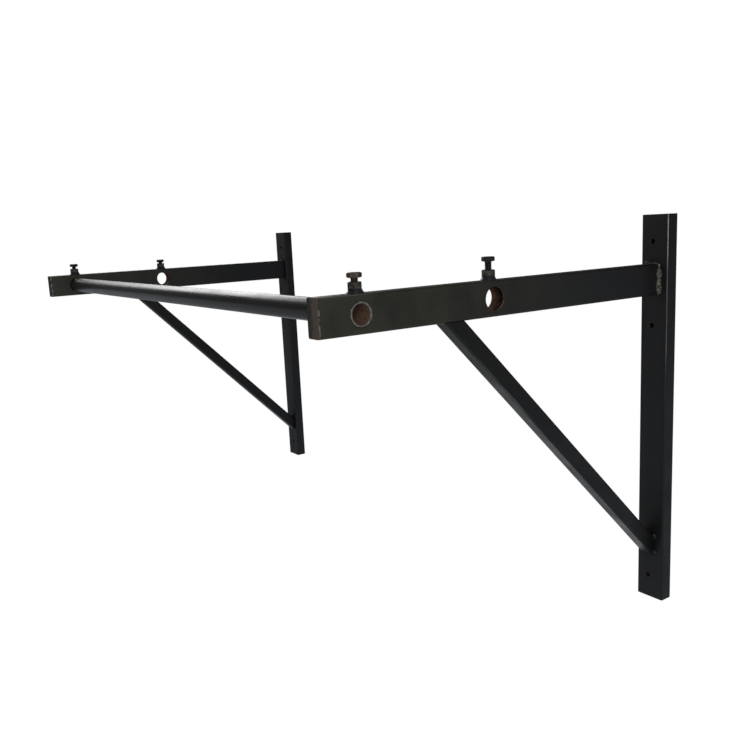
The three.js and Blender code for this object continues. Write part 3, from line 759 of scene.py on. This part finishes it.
def sprayed_bar_paint(name):
    """Satin black paint, sprayed on drawn tube. It gives the eye a smooth soft gloss, with faint lines along
    the tube from drawing it, and dull patches where hands hold it. The lines and the mist of the spray are
    finer than 0.2 mm, and are drawn at 1.2 and 0.9 mm so that they show."""
    material, tree = new_material(name)
    place = add_node(tree, "ShaderNodeTexCoord").outputs["Object"]
    drawn_out = add_node(tree, "ShaderNodeMapping", {"Scale": (0.02, 1, 1)}, {"Vector": place}).outputs[0]
    lines = add_node(tree, "ShaderNodeTexNoise",
                     {"Scale": per_mm(1.2), "Detail": 3}, {"Vector": drawn_out}).outputs[0]
    hands = add_node(tree, "ShaderNodeTexNoise",
                     {"Scale": per_mm(90), "Detail": 5, "Roughness": 0.6}, {"Vector": place}).outputs[0]
    mist = add_node(tree, "ShaderNodeTexNoise",
                    {"Scale": per_mm(0.9), "Detail": 3}, {"Vector": place}).outputs[0]
    colour = add_node(tree, "ShaderNodeMix",
                      {"data_type": "RGBA", MIX_A: linear("#1d1c19"), MIX_B: linear("#292723")},
                      {"Factor": hands}).outputs[MIX_COLOUR]
    roughness = add_node(tree, "ShaderNodeMapRange",
                         {"From Min": 0.3, "From Max": 0.7, "To Min": 0.26, "To Max": 0.38},
                         {"Value": hands}).outputs[0]
    relief = add_node(tree, "ShaderNodeMath", {"operation": "ADD"}, {0: lines, 1: mist}).outputs[0]
    bump = add_node(tree, "ShaderNodeBump",
                    {"Strength": 0.18, "Distance": 0.06 * MM}, {"Height": relief}).outputs[0]
    surface = add_node(tree, "ShaderNodeBsdfPrincipled", {"IOR": 1.55},
                       {"Base Color": colour, "Roughness": roughness, "Normal": bump})
    add_node(tree, "ShaderNodeOutputMaterial", links={"Surface": surface.outputs[0]})
    return material


low, high = [np.array(corner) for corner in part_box("pull_up_bar")]
radius = BAR_DIAMETER / 2
turn = np.linspace(0, math.pi / 2, LIP_STEPS)
outer_lip = SAWN_LIP * (1 - np.cos(turn))
lip_depth = SAWN_LIP * (1 - np.sin(turn))
around_lip = np.concatenate([outer_lip, (BAR_WALL - outer_lip)[::-1]])
from_end = np.concatenate([lip_depth, lip_depth[::-1]])
rows = [(radius - inset, high[0] - back) for inset, back in zip(around_lip, from_end)]
rows += [(radius - inset, low[0] + back) for inset, back in zip(around_lip[::-1], from_end[::-1])]
rings = placed(turned_rings(rows, BAR_STEPS), (0, (low[1] + high[1]) / 2, (low[2] + high[2]) / 2),
               (0, 1, 0), (0, 0, 1), (1, 0, 0))
bar_end = cut_steel("sawn_bar_end", "#b4b3ab", "#6c6a63", share=0.5)
bar_bore = rusted_steel("rusty_bar_bore", "#53453b", "#7a5e4d", share=0.5)
bar_paint = sprayed_bar_paint("sprayed_satin_black")
bar = skin("round_bar", [rings], [bar_paint, bar_end, bar_bore], tube_bands())
finished(bar, "bar", "bar_paint", "pull_up_bar")

# Clamp bolts ----------------------------------------------------------------------------------------
# A fully threaded M10 hex-head screw stands in each nut. The front two press on the bar, and the rear two
# stand idle over the empty sockets. Those on the left are coloured almost black.

THREAD_PITCH = 1.5 * MM
THREAD_DEPTH = 0.9 * MM
TIP_TAPER = 1 * MM
HEAD_FLATS = 17 * MM
HEAD_HEIGHT = 6.4 * MM
HEAD_TURN = {"front": math.pi / 6, "rear": 0}  # how far each was left turned
NECK_FILLET = 0.5 * MM  # where the shank meets the head
THREAD_START = 1 * MM  # below the head
CREST_LOSS = 0.02 * MM  # rolled crests stand this far inside the full radius


def thread_rows(radius, start, end, steps=TURN_STEPS):
    """Rows down a threaded shank. The radius drops from the crest by the thread's depth times a triangle
    wave of distance / pitch - turn / full turn, with its crests and roots cut flat."""
    turn = np.arange(steps) / steps
    distances = np.arange(start, end, -THREAD_PITCH / 8)
    phase = (distances[:, None] / THREAD_PITCH - turn) % 1
    wave = np.clip(1.3 * np.abs(2 * phase - 1) - 0.15, 0, 1)
    return [(radius - THREAD_DEPTH * depth, distance) for depth, distance in zip(wave, distances)]


def bolt_rings(diameter, length, head_height, steps=TURN_STEPS):
    """Rings of a bolt from the top of its head to its tip, with its origin under the head."""
    radius = diameter / 2
    rows = chamfer_rows(HEAD_FLATS, head_height, 1, steps)[::-1] + chamfer_rows(HEAD_FLATS, 0, -1, steps)
    rows += [(radius + NECK_FILLET, 0), (radius - 0.1 * MM, -0.6 * MM)]
    rows += thread_rows(radius - CREST_LOSS, -THREAD_START, TIP_TAPER - length, steps)
    rows += [(radius - THREAD_DEPTH, TIP_TAPER - length), (radius - THREAD_DEPTH - TIP_TAPER / 2, -length)]
    return turned_rings(rows, steps)


bolt_finish = {
    "right_front": zinc_plate("browned_zinc_screw", "#84786a", "#4d4034", stain_share=0.55),
    "right_rear": zinc_plate("dulled_zinc_screw", "#6b6b66", "#33312d", stain_share=0.6),
    # The left pair is coloured almost black, darker than the right pair.
    "left_front": zinc_plate("darkest_zinc_screw", "#4a4a48", "#1d1d1d", stain_share=0.95),
}
bolt_finish["left_rear"] = bolt_finish["left_front"]

for side in OUTBOARD:
    for place in PLACES:
        low, high = node_box(side, f"{place}_clamp_bolt")
        middle = (low + high) / 2
        length = high[2] - low[2] - HEAD_HEIGHT
        cos, sin = math.cos(HEAD_TURN[place]), math.sin(HEAD_TURN[place])
        under_head = (middle[0], middle[1], high[2] - HEAD_HEIGHT)
        rings = placed(bolt_rings(BOLT_DIAMETER, length, HEAD_HEIGHT), under_head,
                       (cos, sin, 0), (-sin, cos, 0), (0, 0, 1))
        finish = bolt_finish[f"{side}_{place}"]
        bolt = skin(f"{side}_{place}_screw", [rings], [finish], closed=False)
        finished(bolt, f"{side}_{place}_clamp_bolt", "zinc_steel", f"{side}_{place}_clamp_bolt")

# Floor, light and camera ----------------------------------------------------------------------------
# A pale floor lies well below the brackets, as it does under a bar fixed at its working height. Two softboxes
# beyond the left bracket rake along the top of the bar, one in front fills the arm's side and the end plate,
# and one near the floor stands for its bounce on the brace's underside. The rest of the room is darker.

FLOOR_DROP = 1.3
FLOOR_RADIUS = 20.0
FLOOR_THICKNESS = 0.02
FLOOR_GLOW = 0.36  # how brightly the floor lights the object
ROOM_GLOW = 0.12  # the same of the walls and ceiling

floor_paint, tree = new_material("pale_floor")
seen = add_node(tree, "ShaderNodeLightPath").outputs["Is Camera Ray"]
lit = add_node(tree, "ShaderNodeEmission", {"Color": linear("#e4e9f2"), "Strength": FLOOR_GLOW}).outputs[0]
white = add_node(tree, "ShaderNodeEmission", {"Color": linear("#ffffff")}).outputs[0]
both = add_node(tree, "ShaderNodeMixShader", links={0: seen, 1: lit, 2: white}).outputs[0]
add_node(tree, "ShaderNodeOutputMaterial", links={"Surface": both})
rings = turned_rings([(FLOOR_RADIUS, -FLOOR_DROP - FLOOR_THICKNESS), (FLOOR_RADIUS, -FLOOR_DROP)], 96)
floor = skin("floor", [rings], [floor_paint], closed=False)


def softbox(name, place, aim, width, height, watts):
    """A softbox at a place, turned to shine at a point, of a width and height in metres. The camera doesn't
    see it."""
    lamp = bpy.data.lights.new(name, "AREA")
    lamp.shape = "RECTANGLE"
    lamp.size, lamp.size_y = width, height
    lamp.energy = watts
    box = bpy.data.objects.new(name, lamp)
    box.location = place
    box.rotation_euler = (Vector(aim) - box.location).to_track_quat("-Z", "Y").to_euler()
    box.visible_camera = False
    bpy.context.scene.collection.objects.link(box)


softbox("high_raking_softbox", (-3.2, -0.05, 2.6), (0.3, -0.6, 0.55), width=2.6, height=1.4, watts=52)
softbox("low_raking_softbox", (-3.3, 0.1, 1.6), (0.3, -0.6, 0.55), width=2.4, height=0.75, watts=10)
softbox("front_softbox", (2.7, -1.7, 1.2), (0.5, -0.5, 0.45), width=1.5, height=1.5, watts=22)
softbox("floor_bounce", (-0.6, 0.4, -1.2), (0.4, -0.2, 0.35), width=2.0, height=2.0, watts=8)

world = bpy.data.worlds.new("studio")
world.use_nodes = True
tree = world.node_tree
tree.nodes.clear()
seen = add_node(tree, "ShaderNodeLightPath").outputs["Is Camera Ray"]
room = add_node(tree, "ShaderNodeBackground", {"Color": linear("#e8ecf2"), "Strength": ROOM_GLOW}).outputs[0]
backdrop = add_node(tree, "ShaderNodeBackground", {"Color": linear("#ffffff")}).outputs[0]
both = add_node(tree, "ShaderNodeMixShader", links={0: seen, 1: room, 2: backdrop}).outputs[0]
add_node(tree, "ShaderNodeOutputWorld", links={"Surface": both})
bpy.context.scene.world = world
bpy.context.scene.view_settings.view_transform = "Standard"

CAMERA_PLACE = (1.4471, -1.1522, 0.6528)
CAMERA_TURN = math.radians(55.31)  # about Z, from looking along +Y
CAMERA_DIP = math.radians(10.24)  # below level
CAMERA_ROLL = math.radians(-2.69)

lens = bpy.data.cameras.new("camera")
lens.sensor_width = 36
lens.lens = 38.66
camera = bpy.data.objects.new("camera", lens)
bpy.context.scene.collection.objects.link(camera)
turned = Matrix.Rotation(CAMERA_TURN, 4, "Z")
lowered = Matrix.Rotation(math.pi / 2 - CAMERA_DIP, 4, "X")
rolled = Matrix.Rotation(CAMERA_ROLL, 4, "Z")
camera.matrix_world = Matrix.Translation(CAMERA_PLACE) @ turned @ lowered @ rolled
bpy.context.scene.camera = camera
